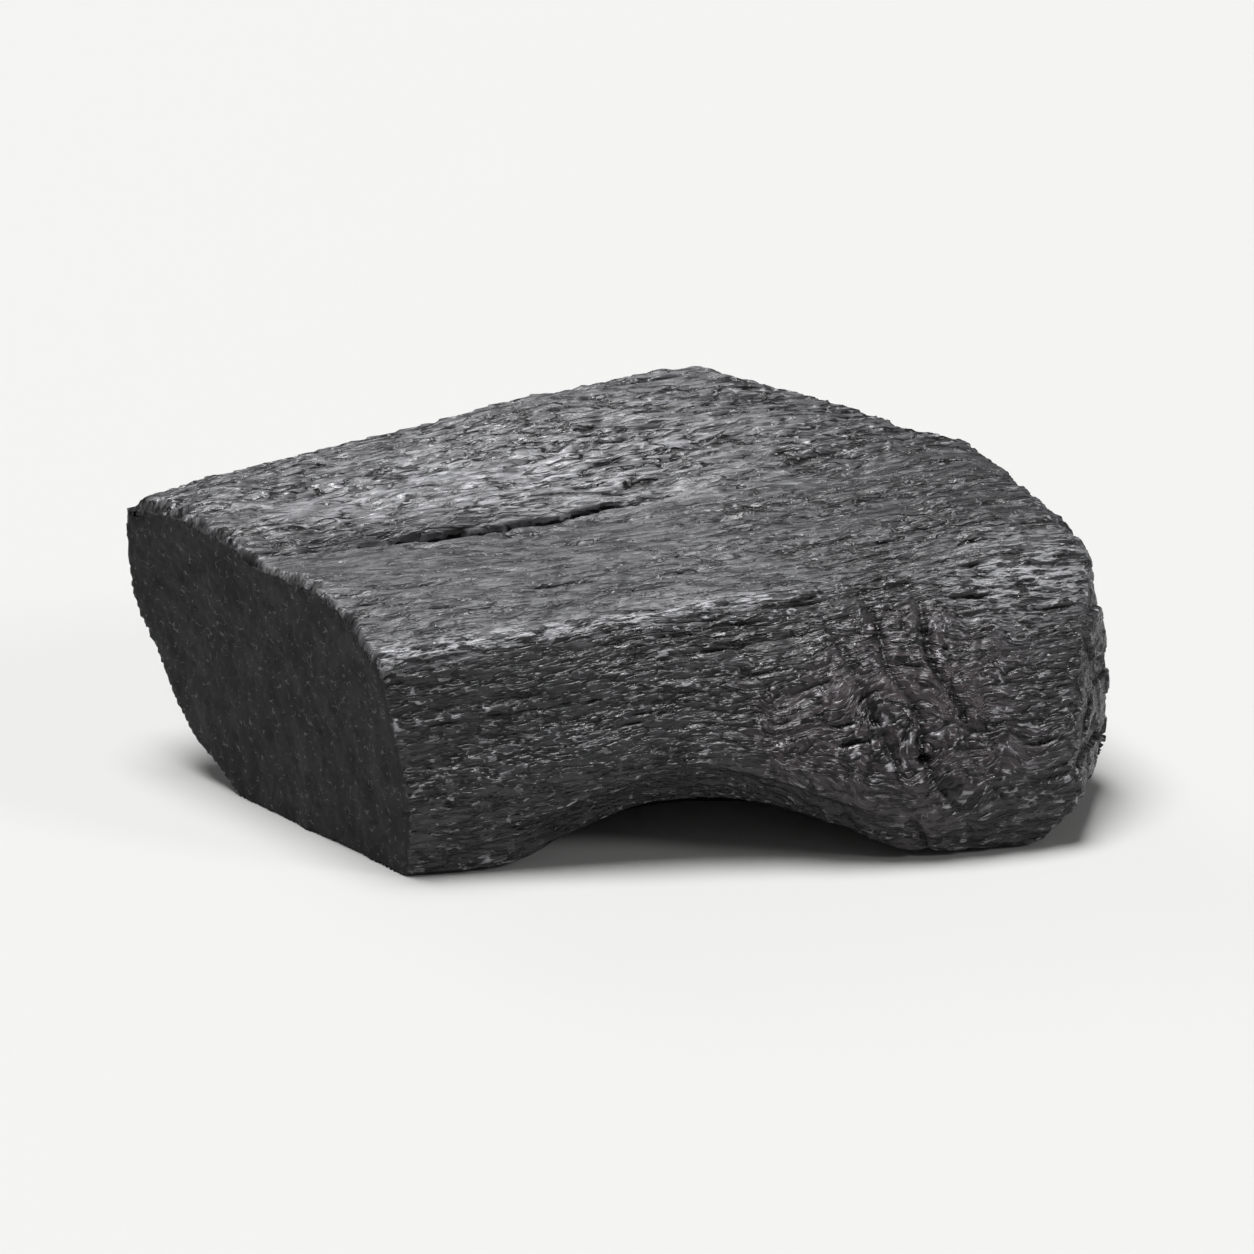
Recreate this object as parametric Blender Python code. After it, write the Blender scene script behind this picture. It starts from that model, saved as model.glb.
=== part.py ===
"""One lump of hardwood charcoal, split along the grain and broken across it.

The lump lies on its belly. X runs along the grain, Y from the front to the back and Z up; the
origin is on the floor, under the middle of the lump. Its body is lofted through guide lines that
run along the grain, and the ends, the missing corner and the flat belly are cut from that body.
"""

import bmesh
import bpy
import numpy as np
from mathutils import Matrix, Vector, noise

MM = 0.001

# The lump's length along the grain, in millimetres. The guide lines and breaks below are drawn
# for DRAWN_LENGTH, and another LENGTH scales the whole lump.
LENGTH = 94.3
DRAWN_LENGTH = 94.3
SIZE = LENGTH / DRAWN_LENGTH * MM

# Where the body starts and ends along the grain, before its ends are broken off. x is 0 where
# the left end meets the lower front edge.
BODY_START = -27.0
BODY_END = 78.0
STATIONS = 48

# Guide lines: each is (x along the grain, y, z above the floor), in millimetres at DRAWN_LENGTH.
GUIDES = {
    # The lower front edge: a hollow left by a branch, then a foot that bulges forward.
    "sill": (
        (-27, 0.0, 1.0), (0, -0.5, 0.3), (5, -1.2, 0.4), (12, -1.5, 1.0), (19, -1.5, 3.2),
        (26, -2.0, 5.2), (31, -3.0, 5.4), (36, -4.7, 5.0), (42, -7.2, 3.2), (49, -9.8, 1.0),
        (55, -10.5, 0.3), (64, -10.6, 0.6), (78, -9.5, 1.0),
    ),
    "rim": (
        (-27, -0.5, 7.0), (0, -1.0, 7.0), (12, -2.6, 9.5), (24, -4.2, 11.6), (34, -6.0, 10.8),
        (44, -9.4, 7.5), (54, -11.3, 5.5), (64, -11.0, 6.0), (78, -9.5, 7.0),
    ),
    "cheek": (
        (-27, 1.0, 14.5), (0, 0.6, 14.5), (24, -1.2, 17.0), (40, -4.4, 16.5), (54, -6.6, 15.5),
        (64, -6.0, 16.0), (78, -4.5, 16.5),
    ),
    # The sharp upper front edge.
    "ridge": (
        (-27, 3.0, 21.6), (-2, 3.0, 22.4), (16, 3.0, 23.7), (30, 3.0, 24.4), (50, 3.0, 24.8),
        (64, 3.0, 25.8), (78, 3.0, 25.6),
    ),
    # A band that rises steeply at the left end and lies flatter further right.
    "band": (
        (-27, 8.2, 26.0), (-6, 8.2, 26.4), (16, 8.4, 26.2), (40, 8.4, 26.7), (64, 9.0, 27.8),
        (78, 9.0, 27.2),
    ),
    # A layer has split off in front of the crack line, which leaves a low step.
    "crack_foot": (
        (-27, 20.3, 27.0), (-10, 20.4, 27.0), (20, 20.6, 27.4), (34, 20.8, 28.4), (50, 21.0, 29.2),
        (64, 20.0, 29.9), (78, 20.0, 28.5),
    ),
    "crack_lip": (
        (-27, 21.4, 27.2), (-12, 21.4, 27.8), (4, 21.4, 28.3), (20, 21.6, 28.7), (34, 21.8, 28.9),
        (50, 22.0, 29.4), (64, 21.0, 30.0), (78, 21.0, 28.5),
    ),
    "brow": (
        (-27, 28.8, 28.4), (-12, 29.0, 28.9), (10, 29.4, 30.0), (26, 29.8, 31.6), (40, 30.2, 32.2),
        (52, 30.4, 31.6), (64, 29.0, 30.4), (78, 29.0, 28.5),
    ),
    # The upper back edge, highest at two thirds of the length.
    "crest": (
        (-27, 36.2, 26.2), (-20, 36.3, 27.0), (-10, 36.6, 29.2), (2, 37.0, 31.0), (12, 37.5, 31.9),
        (19, 38.0, 33.0), (33, 39.0, 34.6), (44, 40.5, 35.0), (54, 40.5, 33.0), (64, 39.0, 30.0),
        (78, 38.0, 27.0),
    ),
    # The round bark side, behind and below.
    "back_high": ((-27, 36.6, 22.0), (-18, 36.8, 22.3), (20, 38.8, 25.0), (45, 40.8, 26.0), (78, 39.0, 22.0)),
    "back_middle": ((-27, 33.6, 13.4), (-14, 34.0, 13.4), (20, 36.6, 14.0), (45, 38.4, 14.5), (78, 37.0, 13.0)),
    "back_low": ((-27, 27.6, 4.8), (-12, 28.0, 4.8), (20, 30.6, 5.0), (45, 32.0, 5.0), (78, 31.0, 5.0)),
    "belly_back": ((-27, 20.0, -0.6), (20, 23.0, -0.6), (78, 23.0, -0.6)),
    "belly_front": ((-27, 7.0, -0.6), (16, 7.0, -0.6), (31, 9.5, -0.6), (46, 4.0, -0.6), (78, 2.0, -0.6)),
    "toe": (
        (-27, 2.6, 0.2), (12, 2.4, 0.5), (24, 4.0, 2.4), (32, 4.0, 2.8), (42, -1.0, 1.2),
        (52, -4.4, -0.1), (78, -4.0, 0.0),
    ),
}

# The lump's cross-section, as runs between sharp edges: the guide lines in order, and how many
# pieces the run is divided into.
RUNS = (
    (("sill", "rim", "cheek", "ridge"), 11),
    (("ridge", "band", "crack_foot"), 8),
    (("crack_foot", "crack_lip"), 1),
    (("crack_lip", "brow", "crest"), 7),
    (("crest", "back_high", "back_middle", "back_low", "belly_back"), 12),
    (("belly_back", "belly_front"), 3),
    (("belly_front", "toe", "sill"), 5),
)

# Breaks across the grain: a point on the break, the way it faces, and how rough it is, in mm.
BREAKS = {
    "left_end": ((-9.6, 18.0, 14.0), (-0.88, -0.475, 0.0), 0.35),
    "right_end": ((71.2, 11.0, 15.0), (0.95, 0.30, 0.04), 1.1),
    "right_front_corner": ((70.0, -5.0, 14.0), (0.86, -0.5, 0.10), 0.8),
    "right_foot": ((68.2, -9.0, 3.4), (0.62, -0.28, -0.73), 0.5),
    "back_corner": ((56.0, 32.5, 18.0), (0.55, 0.83, 0.10), 1.2),
}
BREAK_SPAN = 96.0
BREAK_DEPTH = 60.0
BREAK_CELLS = 32
BREAK_GRAIN = 9.0

# Low relief of the split faces: how deep, how long along the grain and how wide across it, in mm.
RELIEF = 0.4
RELIEF_LENGTH = 26.0
RELIEF_WIDTH = 7.0


def clear_scene():
    for obj in list(bpy.data.objects):
        bpy.data.objects.remove(obj)


def cubic(at, places, values):
    """A smooth curve through values, which stand at places."""
    places, values = np.asarray(places, float), np.asarray(values, float)
    slopes = np.gradient(values, places)
    i = np.clip(np.searchsorted(places, at) - 1, 0, len(places) - 2)
    step = places[i + 1] - places[i]
    t = (at - places[i]) / step
    return (
        values[i] * (1 + 2 * t) * (1 - t) ** 2
        + values[i + 1] * t * t * (3 - 2 * t)
        + slopes[i] * step * t * (1 - t) ** 2
        - slopes[i + 1] * step * t * t * (1 - t)
    )


def guide_at(name, x):
    """(y, z) of a guide line at x."""
    line = np.array(GUIDES[name], float)
    return np.array([float(cubic(x, line[:, 0], line[:, k])) for k in (1, 2)])


def run_points(names, pieces, x):
    """The run's points at x, without its last one: smooth between its two sharp ends."""
    corners = np.array([guide_at(name, x) for name in names])
    reach = np.concatenate([[0.0], np.cumsum(np.linalg.norm(np.diff(corners, axis=0), axis=1))])
    at = np.linspace(0.0, reach[-1], pieces, endpoint=False)
    if len(names) == 2:
        return [corners[0] + (corners[1] - corners[0]) * s / reach[-1] for s in at]
    return [np.array([float(cubic(s, reach, corners[:, k])) for k in (0, 1)]) for s in at]


def section(x):
    """The cross-section at x: a ring of (y, z), which starts at the lower front edge."""
    return np.array([p for names, pieces in RUNS for p in run_points(names, pieces, x)])


def with_relief(x, ring):
    """The ring pushed in and out a little, by a pattern that is long along the grain."""
    ahead, behind = np.roll(ring, -1, axis=0), np.roll(ring, 1, axis=0)
    along = ahead - behind
    outward = np.stack([-along[:, 1], along[:, 0]], axis=1)
    outward /= np.linalg.norm(outward, axis=1)[:, None]
    amount = [
        noise.noise(Vector((x / RELIEF_LENGTH, y / RELIEF_WIDTH, z / RELIEF_WIDTH))) for y, z in ring
    ]
    return ring + RELIEF * np.array(amount)[:, None] * outward


def lofted_body():
    """The body with both ends still too long, as a closed mesh."""
    mesh = bmesh.new()
    rings = []
    for x in np.linspace(BODY_START, BODY_END, STATIONS):
        ring = with_relief(x, section(x))
        rings.append([mesh.verts.new((x * SIZE, y * SIZE, z * SIZE)) for y, z in ring])
    for near, far in zip(rings, rings[1:]):
        for k in range(len(near)):
            after = (k + 1) % len(near)
            mesh.faces.new((near[k], near[after], far[after], far[k]))
    mesh.faces.new(rings[0][::-1])
    mesh.faces.new(rings[-1])
    bmesh.ops.recalc_face_normals(mesh, faces=mesh.faces)
    return mesh


def add_object(name, mesh):
    data = bpy.data.meshes.new(name)
    mesh.to_mesh(data)
    mesh.free()
    obj = bpy.data.objects.new(name, data)
    bpy.context.scene.collection.objects.link(obj)
    return obj


def turned_to(point, normal):
    """The matrix that puts local +Z along normal and the local origin at point."""
    turn = Vector(normal).normalized().to_track_quat("Z", "Y").to_matrix().to_4x4()
    return Matrix.Translation(Vector(point) * SIZE) @ turn


def break_block(name, point, normal, roughness):
    """A block that takes away all that lies beyond a break. Its near face is the rough break."""
    mesh = bmesh.new()
    span = BREAK_SPAN * SIZE
    made = bmesh.ops.create_grid(mesh, x_segments=BREAK_CELLS, y_segments=BREAK_CELLS, size=span / 2)
    place = turned_to(point, normal)
    for vert in made["verts"]:
        where = place @ vert.co / (BREAK_GRAIN * SIZE)
        vert.co.z += roughness * SIZE * noise.fractal(where, 1.0, 2.1, 3)
    top = bmesh.ops.extrude_face_region(mesh, geom=mesh.faces[:])
    for item in top["geom"]:
        if isinstance(item, bmesh.types.BMVert):
            item.co.z = BREAK_DEPTH * SIZE
    bmesh.ops.recalc_face_normals(mesh, faces=mesh.faces)
    block = add_object(name, mesh)
    block.matrix_world = place
    return as_cutter(block)


def floor_block():
    """What lies under the floor, so that the belly is flat where the lump rests."""
    mesh = bmesh.new()
    bmesh.ops.create_cube(mesh, size=3 * LENGTH * MM)
    block = add_object("floor_cut", mesh)
    block.location.z = -1.5 * LENGTH * MM
    return as_cutter(block)


def as_cutter(obj):
    obj.hide_render = True
    obj.display_type = "WIRE"
    return obj


def cut(obj, cutter):
    modifier = obj.modifiers.new(cutter.name, "BOOLEAN")
    modifier.operation = "DIFFERENCE"
    modifier.object = cutter


def charcoal():
    """Wood burned to carbon: nearly black, with a weak grey sheen."""
    material = bpy.data.materials.new("hardwood_charcoal")
    material.use_nodes = True
    shader = material.node_tree.nodes["Principled BSDF"]
    shader.inputs["Base Color"].default_value = (0.045, 0.044, 0.045, 1.0)
    shader.inputs["Roughness"].default_value = 0.55
    shader.inputs["Metallic"].default_value = 0.0
    return material


def centre_on_origin(obj):
    """Moves the lump and its cutters so that the origin is under the middle of its footprint."""
    bpy.context.view_layer.update()
    shape = obj.evaluated_get(bpy.context.evaluated_depsgraph_get())
    corners = np.array([corner[:] for corner in shape.bound_box])
    middle = (corners.min(axis=0) + corners.max(axis=0)) / 2
    for each in (obj, *(modifier.object for modifier in obj.modifiers)):
        each.location.x -= middle[0]
        each.location.y -= middle[1]


def build():
    clear_scene()
    lump = add_object("charcoal_lump", lofted_body())
    lump.data.materials.append(charcoal())
    for name, (point, normal, roughness) in BREAKS.items():
        cut(lump, break_block(name + "_break", point, normal, roughness))
    cut(lump, floor_block())
    centre_on_origin(lump)
    return lump


build()
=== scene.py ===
"""The looks of one lump of hardwood charcoal, lying on a pale floor.

Split faces run along the grain: fibres, flakes, small cracks and one long crack on top. The left
end is a flat break across the grain, and the right end is a rough one. X runs along the grain, Y
from the front to the back and Z up. Lengths inside the modelling code are in millimetres.
"""

import math
from functools import partial
from types import SimpleNamespace

import bpy
import numpy as np
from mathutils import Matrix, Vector


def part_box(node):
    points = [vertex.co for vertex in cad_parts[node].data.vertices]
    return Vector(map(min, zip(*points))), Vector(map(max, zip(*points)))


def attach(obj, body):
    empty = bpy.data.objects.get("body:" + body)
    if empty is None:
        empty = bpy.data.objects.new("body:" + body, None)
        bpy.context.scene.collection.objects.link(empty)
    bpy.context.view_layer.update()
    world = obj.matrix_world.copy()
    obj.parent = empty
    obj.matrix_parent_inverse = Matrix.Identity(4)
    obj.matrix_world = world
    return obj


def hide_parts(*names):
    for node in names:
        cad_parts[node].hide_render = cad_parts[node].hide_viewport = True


bl_info = {
    "name": "Charcoal lump",
    "version": (1, 0, 0),
    "blender": (4, 5, 0),
    "location": "3D View > Sidebar > Charcoal",
    "description": "Makes the surface of a lump of hardwood charcoal, and a studio to see it in",
    "category": "Object",
}

NODE = "charcoal_lump"
PIECE = "lump_surface"
MM = 0.001

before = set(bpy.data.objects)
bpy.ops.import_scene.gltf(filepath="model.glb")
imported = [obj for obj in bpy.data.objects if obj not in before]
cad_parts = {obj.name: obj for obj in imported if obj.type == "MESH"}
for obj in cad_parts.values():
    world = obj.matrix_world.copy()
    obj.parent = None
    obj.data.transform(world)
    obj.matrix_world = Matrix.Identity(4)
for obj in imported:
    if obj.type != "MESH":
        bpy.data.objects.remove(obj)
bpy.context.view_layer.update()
LOW, HIGH = (np.array(corner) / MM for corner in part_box(NODE))


def linear(code):
    """The linear colour of an sRGB hex code."""
    parts = [int(code[k:k + 2], 16) / 255 for k in (1, 3, 5)]
    return tuple(c / 12.92 if c <= 0.04045 else ((c + 0.055) / 1.055) ** 2.4 for c in parts)


def in_lump(along=0.0, across=0.0, up=0.0):
    """A place in the lump's box, in mm, from three shares of it."""
    return LOW + np.array([along, across, up]) * (HIGH - LOW)


# Landmarks, and the radii in mm over which the larger ones fade out.
KNOT, KNOT_RADII = in_lump(0.735, 0.10, 0.37), (17.0, 14.0, 14.0)
BRIGHT_FACET, FACET_RADII = in_lump(0.40, 0.73, 0.85), (27.0, 8.5, 40.0)
PEAK, PEAK_RADII = in_lump(0.67, 0.98, 1.0), (14.0, 12.0, 40.0)
FLAKY_CORNER, CORNER_RADII, FLAKY_RADII = in_lump(0.90, 0.24, 0.72), (9.0, 9.0, 9.0), (8.0, 6.0, 4.0)
HOLLOW_X = in_lump(along=0.53)[0]
PITH = in_lump(0.05, 0.90, 0.10)
LEFT_END = in_lump(0.10, 0.58, 0.40)
LEFT_END_FACES = np.array([-0.88, -0.475, 0.0])
WORN_FROM_X, WORN_TO_X = in_lump(along=0.86)[0], in_lump(along=0.95)[0]
RIDGE_Y = in_lump(across=0.28)[1]
CRACK_Y = in_lump(across=0.595)[1]
CRACK_START_X, CRACK_BEND_X, CRACK_END_X = (in_lump(along=share)[0] for share in (0.09, 0.34, 0.61))

# Depths in mm of the hollow under the front lip and of the notches in the left end's upper edge.
HOLLOW_DEPTH = 0.6
NOTCH_DEPTH = 1.1

# A common whole-number hash. The offset keeps the cells' numbers above zero, and the shift keeps
# patterns of different seeds apart.
HASH_PRIMES = np.array([73856093, 19349663, 83492791], np.uint64)
HASH_STEPS = ((16, 0x7FEB352D), (15, 0x846CA68B), (16, 1))
HASH_OFFSET = 4096
SEED_FACTOR, SEED_ADD, SEED_SHIFT = 7919, 11, 1.37
LOW_32_BITS = np.uint64(0xFFFFFFFF)
LOW_10_BITS = np.uint64(1023)

# How bright the pale room is where the camera sees it, and the camera's sensor in mm.
ROOM_SEEN = 0.85
SENSOR_WIDTH = 36.0


class LumpSettings(bpy.types.PropertyGroup):
    """Sizes and colours of the lump's surface."""

    mesh_size: bpy.props.FloatProperty(
        name="Mesh size", description="Width of one face of the surface mesh",
        default=0.28 * MM, min=0.1 * MM, subtype="DISTANCE", unit="LENGTH",
    )
    fibre_width: bpy.props.FloatProperty(
        name="Fibre width", description="Width of a bundle of fibres on the split faces",
        default=0.65 * MM, min=0.1 * MM, subtype="DISTANCE", unit="LENGTH",
    )
    fibre_length: bpy.props.FloatProperty(
        name="Fibre length", description="How far a bundle of fibres can be followed",
        default=4.2 * MM, min=0.5 * MM, subtype="DISTANCE", unit="LENGTH",
    )
    relief: bpy.props.FloatProperty(
        name="Relief", description="Depth of the split faces' relief",
        default=0.30 * MM, min=0.0, subtype="DISTANCE", unit="LENGTH",
    )
    crack_depth: bpy.props.FloatProperty(
        name="Crack depth", description="Depth of the long crack on top",
        default=2.4 * MM, min=0.0, subtype="DISTANCE", unit="LENGTH",
    )
    small_cracks: bpy.props.IntProperty(
        name="Small cracks", description="How many short cracks the split faces have",
        default=190, min=0,
    )
    ring_spacing: bpy.props.FloatProperty(
        name="Ring spacing", description="Width of a growth ring on the left end",
        default=2.6 * MM, min=0.2 * MM, subtype="DISTANCE", unit="LENGTH",
    )
    seed: bpy.props.IntProperty(
        name="Seed", description="Another number gives other fibres and cracks", default=7, min=0,
    )
    # Near-black, and also painted shade, left in crevices, gaps, the long crack and the front hollow.
    char_colour: bpy.props.FloatVectorProperty(
        name="Char", description="Colour of the char in the crevices",
        default=linear("#0e0e0f"), min=0, max=1, subtype="COLOR",
    )
    fibre_colour: bpy.props.FloatVectorProperty(
        name="Fibre", description="Colour of the fibres on the split faces",
        default=linear("#3c3c3e"), min=0, max=1, subtype="COLOR",
    )
    knot_colour: bpy.props.FloatVectorProperty(
        name="Knot", description="Colour of the gnarled wood round the knot, a little warmer",
        default=linear("#464043"), min=0, max=1, subtype="COLOR",
    )
    # Also the colour of painted glints, sheen and highlights on the split faces and the end.
    fleck_and_glint_colour: bpy.props.FloatVectorProperty(
        name="Fleck", description="Colour of the paler flakes and of the ash",
        default=linear("#bcbcc0"), min=0, max=1, subtype="COLOR",
    )
    end_colour: bpy.props.FloatVectorProperty(
        name="Cross-cut end", description="Colour of the flat break across the grain",
        default=linear("#2b2b2d"), min=0, max=1, subtype="COLOR",
    )


class StudioSettings(bpy.types.PropertyGroup):
    """The floor, the lights and the camera."""

    floor_colour: bpy.props.FloatVectorProperty(
        name="Floor", description="Colour of the floor",
        default=linear("#c4c4c3"), min=0, max=1, subtype="COLOR",
    )
    camera_height: bpy.props.FloatProperty(
        name="Camera height", description="Angle of the camera above the floor",
        default=math.radians(25), subtype="ANGLE", unit="ROTATION",
    )
    camera_turn: bpy.props.FloatProperty(
        name="Camera turn", description="Angle of the camera round the lump, from the front",
        default=math.radians(-15), subtype="ANGLE", unit="ROTATION",
    )
    camera_distance: bpy.props.FloatProperty(
        name="Camera distance", description="Distance from the camera to the lump",
        default=0.9, min=0.1, subtype="DISTANCE", unit="LENGTH",
    )
    share_of_width: bpy.props.FloatProperty(
        name="Share of width", description="How much of the picture's width the lump takes",
        default=0.78, min=0.1, max=1, subtype="FACTOR",
    )
    light_distance: bpy.props.FloatProperty(
        name="Light distance",
        description="Height of the soft light overhead; a high one lights the floor evenly",
        default=14.0, min=0.5, subtype="DISTANCE", unit="LENGTH",
    )
    light_power: bpy.props.FloatProperty(
        name="Light", description="Power of the soft light overhead", default=3040.0, min=0.0,
        unit="POWER",
    )
    sky_strength: bpy.props.FloatProperty(
        name="Surroundings", description="Light that the pale room gives", default=0.10, min=0.0,
    )


def smooth_step(low, high, values):
    """0 below low, 1 above high and smooth between; low may be the larger."""
    t = np.clip((values - low) / (high - low), 0, 1)
    return t * t * (3 - 2 * t)


def bell(points, centre, radii):
    """1 at the centre, fading out over about twice the radii."""
    return np.exp(-(((points - centre) / np.array(radii)) ** 2).sum(axis=1))


def scramble(cells, seed):
    """A random whole number for each cell of a grid."""
    number = ((cells + HASH_OFFSET).astype(np.uint64) * HASH_PRIMES).sum(axis=1)
    number = (number + np.uint64(seed * SEED_FACTOR + SEED_ADD)) & LOW_32_BITS
    for shift, factor in HASH_STEPS:
        number = ((number ^ (number >> np.uint64(shift))) * np.uint64(factor)) & LOW_32_BITS
    return number


def noise(points, size, seed):
    """Smooth noise from about -1 to 1, whose lumps are size across in X, Y and Z, in mm."""
    places = points / np.array(size, float) + seed * SEED_SHIFT
    cells = np.floor(places).astype(np.int64)
    within = places - cells
    ease = within ** 3 * (within * (within * 6 - 15) + 10)
    total = np.zeros(len(points))
    for corner in np.ndindex(2, 2, 2):
        number = scramble(cells + np.array(corner), seed)
        slope = [((number >> np.uint64(bits)) & LOW_10_BITS) / 511.5 - 1 for bits in (0, 10, 20)]
        away = within - np.array(corner)
        weight = np.where(corner, ease, 1 - ease).prod(axis=1)
        total += weight * sum(away[:, k] * slope[k] for k in range(3))
    to_full_range = 1.5
    return total * to_full_range


def blocks(points, size, seed):
    """A level from 0 to 1 for each irregular block, size across in X, Y and Z, in mm."""
    unevenness = 0.45
    shaken = points.copy()
    for axis in range(3):
        shaken[:, axis] += unevenness * size[axis] * noise(points, size, seed + axis)
    cells = np.floor(shaken / np.array(size, float)).astype(np.int64)
    return (scramble(cells, seed) & LOW_10_BITS) / 1023.0


def knot_share(points):
    """How much each point belongs to the gnarled wood round the knot, from 0 to 1."""
    far = np.linalg.norm((points - KNOT) / np.array(KNOT_RADII), axis=1)
    front = smooth_step(RIDGE_Y + 3, RIDGE_Y - 2, points[:, 1])
    return front * smooth_step(1.25, 0.55, far + 0.25 * noise(points, (6, 6, 6), 41))


def straightened(points):
    """Where each point lay before the grain bent round the knot and over the hollow."""
    x, y, z = points.T
    front = smooth_step(RIDGE_Y + 5, RIDGE_Y - 2, y)
    core_radius = 5.0
    arch_height, arch_half_length, arch_fade = 5.0, 12.0, 9.0
    dx, dz = x - KNOT[0], z - KNOT[2]
    pushed = dz * core_radius ** 2 / (dx ** 2 + dz ** 2 + 0.7 * core_radius ** 2)
    over_hollow = ((x - HOLLOW_X) / arch_half_length) ** 2
    arched = arch_height * np.exp(-over_hollow - np.maximum(z, 0) / arch_fade)
    wave = 0.7 * noise(points, (17, 15, 15), 31)
    curl = knot_share(points)
    straight = points.copy()
    straight[:, 0] += 1.6 * curl * noise(points, (4.5, 4.5, 4.5), 34)
    straight[:, 1] += wave + 0.7 * curl * noise(points, (4, 4, 4), 32)
    straight[:, 2] += wave - front * (pushed + arched) + 1.3 * curl * noise(points, (4, 4, 4), 33)
    return straight


def split_relief(points, straight, lump):
    """Height of the split faces, as a share of their depth: fibres, flakes and crevices.

    Coarse areas are torn open and fine ones split clean; the strip behind the ridge is fine.
    """
    width, length, seed = lump.fibre_width / MM, lump.fibre_length / MM, lump.seed
    crevices = 1 - 2.2 * np.abs(noise(straight, (2.0 * length, 2.4 * width, 2.4 * width), seed))
    fibres = 1 - 2.2 * np.abs(noise(straight, (length, width, width), seed + 1))
    threads = noise(straight, (0.5 * length, 0.5 * width, 0.5 * width), seed + 2)
    layers = 3.0 * noise(straight, (26, 6, 6), seed + 3)
    layers += 0.3 * noise(straight, (5, 1.5, 1.5), seed + 4)
    flakes = np.floor(layers) + smooth_step(0.75, 1.0, layers - np.floor(layers))
    coarse = smooth_step(-0.25, 0.35, noise(straight, (18, 4.5, 4.5), seed + 5))
    pores = noise(straight, (1.5 * length, 0.9 * width, 0.9 * width), seed + 6)
    holes = smooth_step(0.3, 0.75, pores)
    x, y = points[:, 0], points[:, 1]
    behind_ridge = smooth_step(RIDGE_Y - 0.6, RIDGE_Y + 0.8, y)
    behind_ridge *= smooth_step(RIDGE_Y + 11, RIDGE_Y + 7, y)
    coarse *= 1 - 0.85 * behind_ridge * smooth_step(22, 6, x)
    fine = 0.35 * threads - 0.5 * fibres ** 2
    gaps = 0.75 * crevices ** 3 + 0.3 * holes
    return fine * (0.5 + 0.5 * coarse) - coarse * gaps + 0.55 * flakes


def small_crack_depth(points, straight, allowed, count, rng):
    """Depth of short lens-shaped cracks, scattered where allowed is high."""
    depth = np.zeros(len(points))
    chance = allowed / allowed.sum()
    for start in rng.choice(len(points), count, p=chance):
        length, half = rng.uniform(1.2, 5.0), rng.uniform(0.16, 0.28)
        near = np.abs(points[:, 0] - points[start, 0]) < length
        away = straight[near] - straight[start]
        across = np.hypot(away[:, 1], away[:, 2]) / half
        shape = np.clip(1 - (away[:, 0] / length) ** 2, 0, 1) * smooth_step(1.3, 0.2, across)
        depth[near] = np.maximum(depth[near], rng.uniform(0.24, 0.64) * shape)
    return depth


def long_crack_depth(points):
    """Depth, from 0 to 1, of the crack along the top, widest over its middle."""
    x, y, z = points.T
    along = (x - CRACK_START_X) / (CRACK_END_X - CRACK_START_X)
    open_share = smooth_step(0.0, 0.50, along) * smooth_step(1.0, 0.55, along)
    open_share *= 0.8 + 0.4 * noise(points, (5, 50, 50), 63)
    slope, step_foot = 0.085, 0.6
    line = CRACK_Y + np.maximum(slope * (x - CRACK_BEND_X), step_foot)
    line += 0.3 * noise(points, (9, 50, 50), 61) + 0.25 * noise(points, (2.5, 50, 50), 62)
    narrowest, widening = 0.15, 0.36
    half_width = narrowest + widening * open_share
    on_top = z > 0.6 * HIGH[2]
    return open_share * smooth_step(1.0, 0.45, np.abs(y - line) / half_width) * on_top


def ring_radius(points):
    """Distance from the pith, uneven as growth rings are."""
    return np.linalg.norm((points - PITH)[:, 1:], axis=1) + 0.5 * noise(points, (9, 9, 9), 71)


def left_end_relief(points, lump):
    """Height of the flat break across the grain: growth rings, pits and grit."""
    rings = np.cos(2 * math.pi * ring_radius(points) / (lump.ring_spacing / MM))
    pits = smooth_step(0.35, 0.8, noise(points, (1.2, 1.2, 1.2), 72))
    grit = noise(points, (0.8, 0.8, 0.8), 73)
    return 0.04 * rings - 0.15 * pits + 0.1 * grit + 0.2 * noise(points, (6, 6, 6), 74)


def right_end_relief(points):
    """Height of the rough break: blocks of wood that snapped at different lengths."""
    return 0.9 * blocks(points, (6, 3.4, 2.6), 91) + 0.2 * blocks(points, (3, 1.6, 1.6), 92) - 0.5


def gnarl_relief(points):
    """Height of the gnarled wood round the knot: bumps, three leaning folds and pits."""
    bumps = noise(points, (3.2, 3.2, 3.8), 81) + 0.6 * noise(points, (1.3, 1.3, 1.3), 83)
    pits = smooth_step(0.45, 0.8, noise(points, (1.5, 1.5, 1.8), 84))
    fold_offsets, lean, half_width = (-2.0, 2.4, 6.8), 0.35, 0.55
    folds = np.zeros(len(points))
    for k, offset in enumerate(fold_offsets):
        away = points[:, 0] - KNOT[0] - offset + lean * (points[:, 2] - KNOT[2])
        away += 1.6 * noise(points, (40, 40, 6), 86 + k)
        folds = np.maximum(folds, np.exp(-(away / half_width) ** 2))
    folds *= 0.6 + 0.7 * noise(points, (3, 20, 5), 85)
    return bumps - 3.0 * folds - 1.2 * pits


def hollow_share(points):
    """How much each point lies in the front hollow, under its overhanging lip, from 0 to 1."""
    x, y, z = points.T
    half_length, lip_lowest, lip_rise = 14.0, 4.2, 6.0
    over = np.exp(-((x - HOLLOW_X) / half_length) ** 2)
    lip_height = lip_lowest + lip_rise * over + 0.5 * noise(points, (7, 50, 50), 99)
    below_lip = smooth_step(lip_height + 0.4, lip_height - 0.5, z)
    return smooth_step(0.12, 0.4, over) * below_lip * smooth_step(RIDGE_Y + 6, RIDGE_Y, y)


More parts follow.
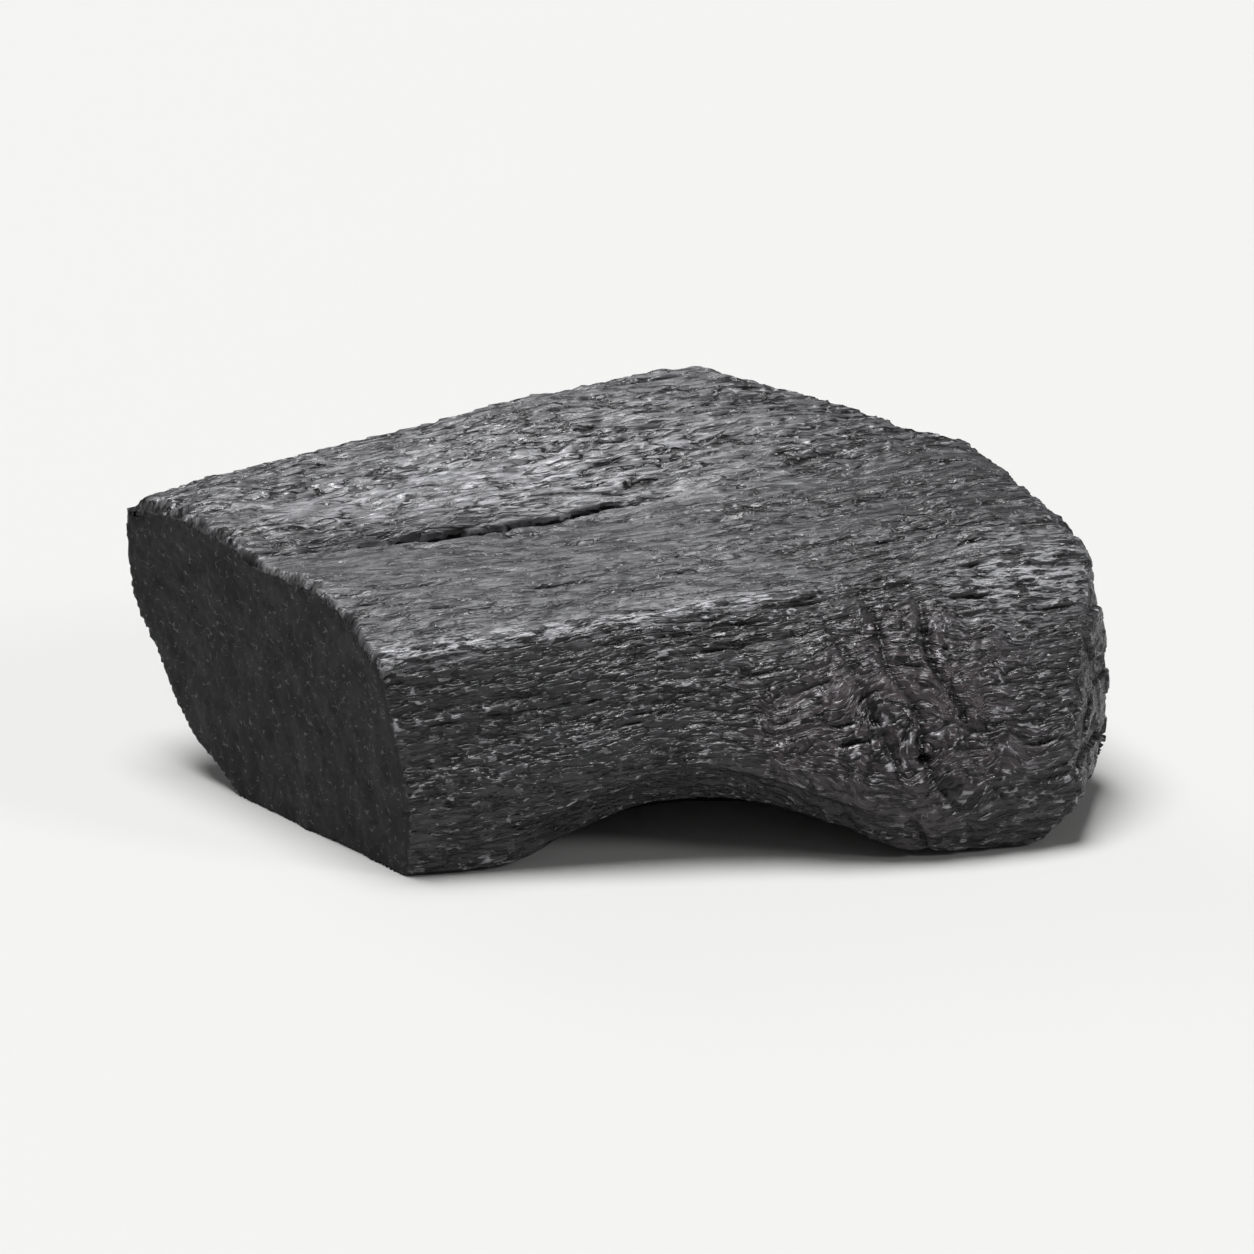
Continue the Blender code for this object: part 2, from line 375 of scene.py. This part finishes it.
def surface_mesh(source, size):
    """The solid's skin as a fine even mesh, with its hard corners softened a little."""
    solid = bpy.data.objects.new("solid", source.data.copy())
    bpy.context.scene.collection.objects.link(solid)
    even = solid.modifiers.new("even", "REMESH")
    even.mode = "VOXEL"
    even.voxel_size = size
    soften = solid.modifiers.new("soften", "SMOOTH")
    soften.factor = 0.5
    soften.iterations = 3
    shape = solid.evaluated_get(bpy.context.evaluated_depsgraph_get())
    mesh = bpy.data.meshes.new_from_object(shape)
    bpy.data.objects.remove(solid)
    if not mesh.polygons:
        raise RuntimeError("the solid gave no surface")
    return mesh


def vertex_numbers(collection, name):
    """Three numbers for each vertex, as rows."""
    values = np.empty(len(collection) * 3, np.float32)
    collection.foreach_get(name, values)
    return values.reshape(-1, 3).astype(float)


def store(mesh, name, values):
    """Keeps a number or a vector at each vertex, for the material to read."""
    kind, field = ("FLOAT", "value") if values.ndim == 1 else ("FLOAT_VECTOR", "vector")
    kept = mesh.attributes.new(name, kind, "POINT")
    kept.data.foreach_set(field, values.astype(np.float32).ravel())


def averaged(mesh, places, times):
    """The places after each has been drawn halfway to the mean of its neighbours, times over."""
    ends = np.empty(len(mesh.edges) * 2, np.int32)
    mesh.edges.foreach_get("vertices", ends)
    first, second = ends.reshape(-1, 2).T
    size = len(places)
    neighbours = np.bincount(ends, minlength=size)[:, None]
    for _ in range(times):
        total = np.stack([
            np.bincount(first, column[second], size) + np.bincount(second, column[first], size)
            for column in places.T
        ], axis=1)
        places = 0.5 * places + 0.5 * total / neighbours
    return places


def worn_smooth(mesh, points, peak):
    """The points with the right end and the peak worn round."""
    worn_end = smooth_step(WORN_FROM_X, WORN_TO_X, points[:, 0]) * smooth_step(0.5, 3.0, points[:, 2])
    worn = np.maximum(worn_end, smooth_step(0.80, 0.97, peak))[:, None]
    wear = 70
    return points * (1 - worn) + averaged(mesh, points, wear) * worn


def skin_areas(points, normals):
    """How much each point belongs to each area of the skin, from 0 to 1.

    before_end is different: a distance in mm past the left end's flat break, below 0 inside it.
    """
    y, z, facing_up = points[:, 1], points[:, 2], normals[:, 2]
    area = SimpleNamespace()
    area.before_end = (points - LEFT_END) @ LEFT_END_FACES
    area.left = smooth_step(0.72, 0.93, normals @ LEFT_END_FACES)
    area.left *= smooth_step(-3.0, -1.6, area.before_end)
    area.right = smooth_step(0.5, 0.85, normals[:, 0])
    area.under = smooth_step(-0.75, -0.95, facing_up) * smooth_step(1.2, 0.4, z)
    area.top = smooth_step(0.35, 0.8, facing_up)
    area.split = (1 - area.left) * (1 - 0.6 * area.right)
    area.behind_crack = smooth_step(CRACK_Y + 1, CRACK_Y + 4, y) * area.top
    area.ridge = np.exp(-((y - RIDGE_Y) / 0.7) ** 2) * smooth_step(16, 20, z)
    area.crown = smooth_step(0.42, 0.66, facing_up) * smooth_step(RIDGE_Y - 0.6, RIDGE_Y + 0.5, y)
    area.knot = knot_share(points)
    area.hollow = hollow_share(points)
    area.long_crack = long_crack_depth(points)
    return area


def surface_height(points, straight, area, lump):
    """How far the skin stands out from the solid at each point; the underside never does."""
    relief = split_relief(points, straight, lump)
    relief -= np.average(relief, weights=area.split)
    relief *= 1 + 0.7 * area.behind_crack
    relief = relief * (1 - 0.45 * area.knot) + area.knot * gnarl_relief(points)
    allowed = area.split * (0.35 + area.top) * (1 - area.under)
    rng = np.random.default_rng(lump.seed)
    cracks = small_crack_depth(points, straight, allowed, lump.small_cracks, rng)
    frays = 0.5 * area.ridge * (blocks(points, (2.4, 1.1, 1.1), 98) - 0.5)
    height = area.split * (lump.relief / MM * relief - cracks + frays)
    height += area.left * left_end_relief(points, lump) + area.right * right_end_relief(points)
    height -= area.long_crack * lump.crack_depth / MM + HOLLOW_DEPTH * area.hollow
    return np.where(area.under > 0.5, -np.abs(height), height)


def edge_notches(points, normals, area):
    """Where the left end's upper edge has broken away in teeth, from 0 to 1."""
    y = points[:, 1]
    width, length, chip_width, chip_length = 2.6, 2.5, 1.3, 0.4
    row = (y + 1.2 * noise(points, (90, 4, 90), 95)) / width
    uneven = 0.35 + 0.65 * blocks(points, (90, width, 90), 96)
    tooth = 2 * np.abs(row - np.floor(row) - 0.5) * uneven
    broken = length * tooth * smooth_step(-12, 2, y)
    broken += chip_length * blocks(points, (90, chip_width, 90), 97)
    facing_up = smooth_step(0.15, 0.45, normals[:, 2])
    return facing_up * smooth_step(-broken - 0.35, -broken + 0.05, area.before_end)


def ash_and_sheen_amount(points, area, peak):
    """How much pale ash and painted sheen the faces that look up get: most on the facet behind the
    crack.

    The band before the crack and the peak get a little more painted sheen than the rest, and the right
    a little less; a strip behind the crack's rim gets painted shade.
    """
    x, y = points[:, 0], points[:, 1]
    facet = bell(points, BRIGHT_FACET, FACET_RADII) * smooth_step(CRACK_Y - 0.6, CRACK_Y + 0.8, y)
    band = smooth_step(24, 4, x) * smooth_step(CRACK_Y + 1, CRACK_Y - 1, y)
    # Painted sheen: most on the facet, a little more on the band and the peak, less to the right.
    dust = 0.06 + 0.075 * band - 0.03 * smooth_step(15, 40, x) + 0.42 * facet + 0.06 * peak
    # Painted shade on a strip behind the crack, as under a low step.
    painted_shade_strip = np.exp(-((y - CRACK_Y - 2.0) / 1.1) ** 2) * smooth_step(-5, -20, x)
    return area.crown * dust * (1 - 0.7 * painted_shade_strip)


def crumbled(points, area):
    """How rough the break is, from 0 to 1: more to the right, behind the crack and at the sides."""
    x, y = points[:, 0], points[:, 1]
    side = (1 - area.crown) * (1 - 0.4 * area.right)
    side *= 1 - 0.4 * smooth_step(RIDGE_Y + 2, RIDGE_Y + 8, y)
    corner = bell(points, FLAKY_CORNER, CORNER_RADII)
    rough = 0.28 + 0.30 * smooth_step(-10, 15, x) + 0.65 * (area.behind_crack + side) + 0.6 * corner
    return np.clip(rough, 0, 1)


def shape_surface(mesh, lump):
    """Moves the mesh's vertices to the lump's surface, and keeps there what the material reads."""
    points = vertex_numbers(mesh.vertices, "co") / MM
    normals = vertex_numbers(mesh.vertex_normals, "vector")
    peak = bell(points, PEAK, PEAK_RADII)
    points = worn_smooth(mesh, points, peak)
    straight = straightened(points)
    area = skin_areas(points, normals)
    notch = edge_notches(points, normals, area)

    moved = points + normals * surface_height(points, straight, area, lump)[:, None]
    moved[:, 2] = np.maximum(moved[:, 2] - NOTCH_DEPTH * notch, 0)
    mesh.vertices.foreach_set("co", (moved * MM).astype(np.float32).ravel())
    mesh.update()

    # Half for a point as high as its surroundings, and 0 or 1 for one 0.4 mm below or above them.
    full_range, rounds = 0.8, 14
    proud = 0.5 + ((moved - averaged(mesh, moved, rounds)) * normals).sum(axis=1) / full_range
    arc_scale = 30.0
    turn = np.arctan2(points[:, 2] - PITH[2], PITH[1] - points[:, 1])
    flaky = bell(points, FLAKY_CORNER, FLAKY_RADII)
    # Painted highlight along the frayed ridge and on the flaky corner near the right end.
    frayed_edge_highlight = area.ridge * smooth_step(24, 8, points[:, 0]) + 0.8 * flaky
    for name, values in (
        ("grain_place", straight),
        ("end_place", np.stack([ring_radius(points), arc_scale * turn, points[:, 0]], axis=1)),
        # In the long crack the mark is lowered, so the crack gets painted shade like a crevice.
        ("proud", np.clip(proud - 0.6 * area.long_crack, 0, 1)),
        ("cross_cut", np.maximum(area.left, notch)),
        ("gnarled", area.knot),
        ("ash_and_sheen", ash_and_sheen_amount(points, area, peak)),
        ("crumbly", crumbled(points, area)),
        ("frayed_edge_highlight", np.clip(frayed_edge_highlight, 0, 1)),
        ("hollow", area.hollow),
    ):
        store(mesh, name, values)


def add_node(tree, kind, *values, named=None, output=None, **settings):
    """Adds a node with its settings, and gives its first output in use, or the one asked for.

    values go to its inputs in use, in order, and named ones by name; a socket is linked.
    """
    node = tree.nodes.new("ShaderNode" + kind)
    for name, value in settings.items():
        setattr(node, name, value)
    in_use = [socket for socket in node.inputs if socket.enabled]
    by_name = [(node.inputs[name], value) for name, value in (named or {}).items()]
    for socket, value in [*zip(in_use, values), *by_name]:
        if isinstance(value, bpy.types.NodeSocket):
            tree.links.new(value, socket)
        else:
            socket.default_value = value
    return node.outputs[output] if output else next(s for s in node.outputs if s.enabled)


def blank_material(name):
    """A material with only its shader and output, and the shader."""
    material = bpy.data.materials.new(name)
    material.use_nodes = True
    tree = material.node_tree
    tree.nodes.clear()
    shader = add_node(tree, "BsdfPrincipled")
    tree.links.new(shader, tree.nodes.new("ShaderNodeOutputMaterial").inputs["Surface"])
    return material, tree, shader.node


def grain_pattern(tree, place, length, width, detail=2.0):
    """An uneven pattern of streaks along the straightened grain, length by width, in mm."""
    scaled = add_node(
        tree, "Mapping", named={"Vector": place, "Scale": (1 / length, 1 / width, 1 / width)},
    )
    return add_node(
        tree, "TexNoise",
        named={"Vector": scaled, "Scale": 1.0, "Detail": detail, "Roughness": 0.6},
    )


def edge_lines(tree, pattern, width):
    """1 on the lines where a pattern passes its middle, and 0 further than width from them."""
    away = add_node(tree, "Math", pattern, 0.5, operation="SUBTRACT")
    far = add_node(tree, "Math", away, operation="ABSOLUTE")
    return add_node(tree, "MapRange", far, width, 0.4 * width)


def layered(tree, colour, layers):
    """A colour under layers, each given as its colour and the shares whose product it covers."""
    for layer_colour, *shares in layers:
        cover = shares[0]
        for share in shares[1:]:
            cover = add_node(tree, "Math", cover, share, operation="MULTIPLY")
        colour = add_node(tree, "Mix", cover, colour, layer_colour, data_type="RGBA")
    return colour


def charcoal_material(lump):
    """Hardwood burned to char and split along the grain: black, with a grey sheen on its fibres.

    The end across the grain is open pores, so it is darker and duller than the split faces. Faces
    that look up get a little pale ash and painted sheen, flake edges get painted glints and the frayed
    ridge a painted highlight; crevices, gaps and the hollow under the front lip get painted shade.
    A fibre of the wood is about 0.02 mm wide and a vessel 0.1 mm, too fine to show, so the patterns
    are drawn as coarse as bundles and splinters of them.
    """
    material, tree, shader = blank_material("split_hardwood_charcoal")
    node = partial(add_node, tree)
    place, end_place = (
        node("Attribute", attribute_name=name, output="Vector") for name in ("grain_place", "end_place")
    )
    proud, cross_cut, ash_and_sheen, crumbly, frayed_edge_highlight, gnarled, hollow = (
        node("Attribute", attribute_name=name, output="Fac")
        for name in ("proud", "cross_cut", "ash_and_sheen", "crumbly", "frayed_edge_highlight", "gnarled", "hollow")
    )
    char, fibre, knot, fleck_and_glint, cut = (
        (*colour, 1) for colour in (
            lump.char_colour, lump.fibre_colour, lump.knot_colour, lump.fleck_and_glint_colour, lump.end_colour,
        )
    )

    # Along the grain, as length and width in mm: bundles of fibres, splinters, thin lifted flakes,
    # gaps between flakes, rough and smooth areas, plates that hold ash and painted sheen, and crumbs.
    bundles = grain_pattern(tree, place, 2.6, 0.50)
    splinters = grain_pattern(tree, place, 1.2, 0.20)
    flakes = grain_pattern(tree, place, 2.8, 0.62, detail=1.5)
    splits = grain_pattern(tree, place, 5.0, 1.1, detail=1.5)
    patches = grain_pattern(tree, place, 11.0, 3.0)
    plates = grain_pattern(tree, place, 4.0, 1.3, detail=1.0)
    crumbs = grain_pattern(tree, place, 0.9, 0.7, detail=1.0)

    # Busy areas are broken up; curls are the raised edges of flakes, painted pale as glints,
    # and gaps the sunken ones, painted dark as shade.
    streaks = node("Mix", node("Math", gnarled, 0.6, operation="MULTIPLY"), bundles, crumbs)
    rough_areas = node("MapRange", patches, 0.60, 0.44, 0.2, 1.0)
    busy = node("Math", rough_areas, crumbly, operation="MULTIPLY")
    curl_ends = node("MapRange", crumbs, 0.48, 0.58)
    gap_ends = node("MapRange", crumbs, 0.64, 0.54)
    curls = node("Math", edge_lines(tree, flakes, 0.055), curl_ends, operation="MULTIPLY")
    gaps = node("Math", edge_lines(tree, splits, 0.050), gap_ends, operation="MULTIPLY")
    # Painted shade: crevices and the long crack keep the near-black char, raised parts get fibre.
    out_of_crevices = node("MapRange", proud, 0.25, 0.48)
    sharp_lines = node("MapRange", streaks, 0.36, 0.64)
    soft_lines = node("MapRange", sharp_lines, 0.0, 1.0, 0.5, 1.0)
    lines = node("Mix", busy, soft_lines, sharp_lines)

    ash_and_sheen_plates = node("MapRange", plates, 0.42, 0.58, 0.65, 1.3)
    ash_and_sheen_lines = node("MapRange", lines, 0.0, 1.0, 0.0, 1.5)
    standing_out = node("MapRange", proud, 0.40, 0.62)
    curl_strength = node("MapRange", ash_and_sheen, 0.0, 0.3, 0.7, 1.0)
    gap_strength = node("MapRange", busy, 0.0, 0.6, 0.3, 1.0)
    highlight_flakes = node("MapRange", flakes, 0.47, 0.53)
    highlight_splinters = node("MapRange", splinters, 0.40, 0.52)
    split_faces = layered(tree, char, (
        (node("Mix", gnarled, fibre, knot, data_type="RGBA"), lines, out_of_crevices),
        # Painted shade in the hollow under the front lip.
        (char, hollow, 0.8),
        # Pale ash and painted sheen on faces that look up.
        (fleck_and_glint, ash_and_sheen, ash_and_sheen_plates, out_of_crevices, ash_and_sheen_lines),
        # Painted glints on the edges of flakes, stronger on the painted sheen of faces that look up.
        (fleck_and_glint, curls, busy, standing_out, curl_strength),
        # Painted shade in the gaps between flakes.
        (char, gaps, gap_strength),
        # Painted highlight on the frayed ridge and the flaky corner.
        (fleck_and_glint, highlight_flakes, highlight_splinters, frayed_edge_highlight, 0.9),
    ))

    # On the end: grit from 3 mm down to single pores, arcs along the growth rings, which are
    # 2.6 mm apart in the relief and closer here, and specks of 1 mm.
    grit = node("TexNoise", named={"Vector": place, "Scale": 0.30, "Detail": 6.0, "Roughness": 0.65})
    along_rings = node("Mapping", named={"Vector": end_place, "Scale": (1.6, 0.16, 0.3)})
    arcs = node("TexNoise", named={"Vector": along_rings, "Scale": 1.0, "Detail": 2.0})
    specks = node("TexNoise", named={"Vector": place, "Scale": 1.1, "Detail": 1.5})
    arc_strength = node("MapRange", arcs, 0.40, 0.60, 0.7, 1.0)
    grit_strength = node("MapRange", grit, 0.40, 0.60, 0.15, 1.0)
    glint_strength = node("MapRange", crumbs, 0.54, 0.64, 0.0, 0.16)
    pore_strength = node("MapRange", specks, 0.34, 0.28, 0.0, 0.8)
    broken_end = layered(tree, char, (
        (cut, arc_strength, grit_strength),
        # Painted glints on the rims of specks.
        (fleck_and_glint, edge_lines(tree, specks, 0.03), glint_strength),
        (char, pore_strength),
    ))
    colour = node("Mix", cross_cut, split_faces, broken_end, data_type="RGBA")
    tree.links.new(colour, shader.inputs["Base Color"])

    # Char is dull, and the smallest clean facets of it shine.
    shining = node("Math", node("MapRange", crumbs, 0.56, 0.62), busy, operation="MULTIPLY")
    dull = node("MapRange", splinters, 0.35, 0.65, 0.26, 0.52)
    roughness = node("Mix", cross_cut, node("Mix", shining, dull, 0.16), 0.8)
    tree.links.new(roughness, shader.inputs["Roughness"])

    # Heights in mm.
    streak_height = node("MapRange", busy, 0.0, 1.0, 0.12, 0.34)
    height = node("Math", streaks, streak_height, operation="MULTIPLY")
    for part, share in ((splinters, 0.07), (curls, 0.08), (gaps, -0.10)):
        height = node("Math", part, share, height, operation="MULTIPLY_ADD")
    grit_height = node("Math", grit, 0.35, operation="MULTIPLY")
    level = node("Mix", cross_cut, height, grit_height)
    bump = node("Bump", named={"Strength": 1.0, "Distance": MM, "Height": level})
    tree.links.new(bump, shader.inputs["Normal"])
    shader.inputs["IOR"].default_value = 1.45
    return material


def floor_material(colour):
    """Painted board, rolled on: pale and matt, with a stipple of about 1 mm that softens its sheen."""
    material, tree, shader = blank_material("matt_painted_board")
    place = add_node(tree, "TexCoord", output="Object")
    stipple = add_node(tree, "TexNoise", named={"Vector": place, "Scale": 900.0, "Detail": 2.0})
    bump = add_node(tree, "Bump", named={"Strength": 0.1, "Distance": 0.05 * MM, "Height": stipple})
    tree.links.new(bump, shader.inputs["Normal"])
    shader.inputs["Base Color"].default_value = (*colour, 1)
    shader.inputs["Roughness"].default_value = 0.8
    shader.inputs["Specular IOR Level"].default_value = 0.2
    return material


def link(obj):
    """Puts an object in the scene."""
    bpy.context.scene.collection.objects.link(obj)
    return obj


class OBJECT_OT_charcoal_lump(bpy.types.Operator):
    """Make the lump's split and broken surface over its solid"""

    bl_idname = "object.charcoal_lump"
    bl_label = "Charcoal lump"

    def execute(self, context):
        lump = context.scene.charcoal_lump
        mesh = surface_mesh(bpy.data.objects[NODE], lump.mesh_size)
        shape_surface(mesh, lump)
        mesh.materials.clear()
        mesh.materials.append(charcoal_material(lump))
        mesh.polygons.foreach_set("use_smooth", np.ones(len(mesh.polygons), bool))
        piece = link(bpy.data.objects.new(PIECE, mesh))
        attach(piece, "root")
        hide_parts(NODE)
        return {"FINISHED"}


def add_floor(studio):
    """A floor wide enough to fill the picture from every side."""
    half = 6.0
    corners = [(-half, -half, 0), (half, -half, 0), (half, half, 0), (-half, half, 0)]
    mesh = bpy.data.meshes.new("floor")
    mesh.from_pydata(corners, [], [(0, 1, 2, 3)])
    mesh.materials.append(floor_material(studio.floor_colour))
    link(bpy.data.objects.new("floor", mesh))


def add_area_light(name, place, target, width, power):
    """A round soft light that faces the target."""
    light = bpy.data.lights.new(name, "AREA")
    light.shape = "DISK"
    light.size = width
    light.energy = power
    obj = link(bpy.data.objects.new(name, light))
    obj.location = place
    obj.rotation_euler = (target - place).to_track_quat("-Z", "Y").to_euler()


def add_lights(studio, middle):
    """Soft lights, as name, place and width in light distances, and share of the power."""
    for name, place, width, share in (
        ("overhead", (-0.11, 0.14, 1.0), 0.57, 1.0),
        ("behind", (-0.50, 1.29, 0.71), 0.71, 0.22),
        ("front_fill", (1.07, -0.64, 0.71), 0.31, 0.25),
    ):
        far = studio.light_distance
        add_area_light(name, Vector(place) * far, middle, width * far, share * studio.light_power)


def add_surroundings(strength):
    """A pale room, seen as it is and giving the light of its strength."""
    world = bpy.data.worlds.new("pale_room")
    world.use_nodes = True
    tree = world.node_tree
    background = tree.nodes["Background"]
    background.inputs["Color"].default_value = (1.0, 1.0, 1.0, 1.0)
    seen = add_node(tree, "LightPath", output="Is Camera Ray")
    shown = add_node(tree, "MapRange", seen, 0.0, 1.0, strength, ROOM_SEEN)
    tree.links.new(shown, background.inputs["Strength"])
    bpy.context.scene.world = world


def add_camera(studio, middle):
    """The camera looks at the middle of the lump and takes in its width."""
    height, turn = studio.camera_height, studio.camera_turn
    length, depth, _ = (HIGH - LOW) * MM
    depth_seen = 0.6
    seen_width = length * math.cos(turn) + depth * abs(math.sin(turn)) * depth_seen
    flat = math.cos(height)
    back = Vector((math.sin(turn) * flat, -math.cos(turn) * flat, math.sin(height)))
    camera = bpy.data.cameras.new("camera")
    camera.sensor_width = SENSOR_WIDTH
    camera.lens = SENSOR_WIDTH * studio.camera_distance * studio.share_of_width / seen_width
    camera.clip_end = 50.0
    obj = link(bpy.data.objects.new("camera", camera))
    obj.location = middle + back * studio.camera_distance
    obj.rotation_euler = back.to_track_quat("Z", "Y").to_euler()
    bpy.context.scene.camera = obj


class OBJECT_OT_charcoal_studio(bpy.types.Operator):
    """Lay the floor, light it softly and set up the camera"""

    bl_idname = "object.charcoal_studio"
    bl_label = "Studio"

    def execute(self, context):
        studio = context.scene.charcoal_studio
        middle = Vector((LOW + HIGH) / 2 * MM)
        add_floor(studio)
        add_lights(studio, middle)
        add_surroundings(studio.sky_strength)
        add_camera(studio, middle)
        context.scene.view_settings.view_transform = "Standard"
        return {"FINISHED"}


class VIEW3D_PT_charcoal(bpy.types.Panel):
    """Lists the lump and its studio with their settings"""

    bl_label = "Charcoal"
    bl_space_type = "VIEW_3D"
    bl_region_type = "UI"
    bl_category = "Charcoal"

    def draw(self, context):
        for settings, operator in (("charcoal_lump", "object.charcoal_lump"),
                                   ("charcoal_studio", "object.charcoal_studio")):
            group = getattr(context.scene, settings)
            box = self.layout.box()
            for name in group.__annotations__:
                box.prop(group, name)
            box.operator(operator)


CLASSES = (
    LumpSettings,
    StudioSettings,
    OBJECT_OT_charcoal_lump,
    OBJECT_OT_charcoal_studio,
    VIEW3D_PT_charcoal,
)


def register():
    for cls in CLASSES:
        bpy.utils.register_class(cls)
    bpy.types.Scene.charcoal_lump = bpy.props.PointerProperty(type=LumpSettings)
    bpy.types.Scene.charcoal_studio = bpy.props.PointerProperty(type=StudioSettings)


def unregister():
    del bpy.types.Scene.charcoal_studio
    del bpy.types.Scene.charcoal_lump
    for cls in reversed(CLASSES):
        bpy.utils.unregister_class(cls)


def main():
    register()
    bpy.ops.object.charcoal_lump()
    bpy.ops.object.charcoal_studio()


if __name__ == "__main__":
    main()
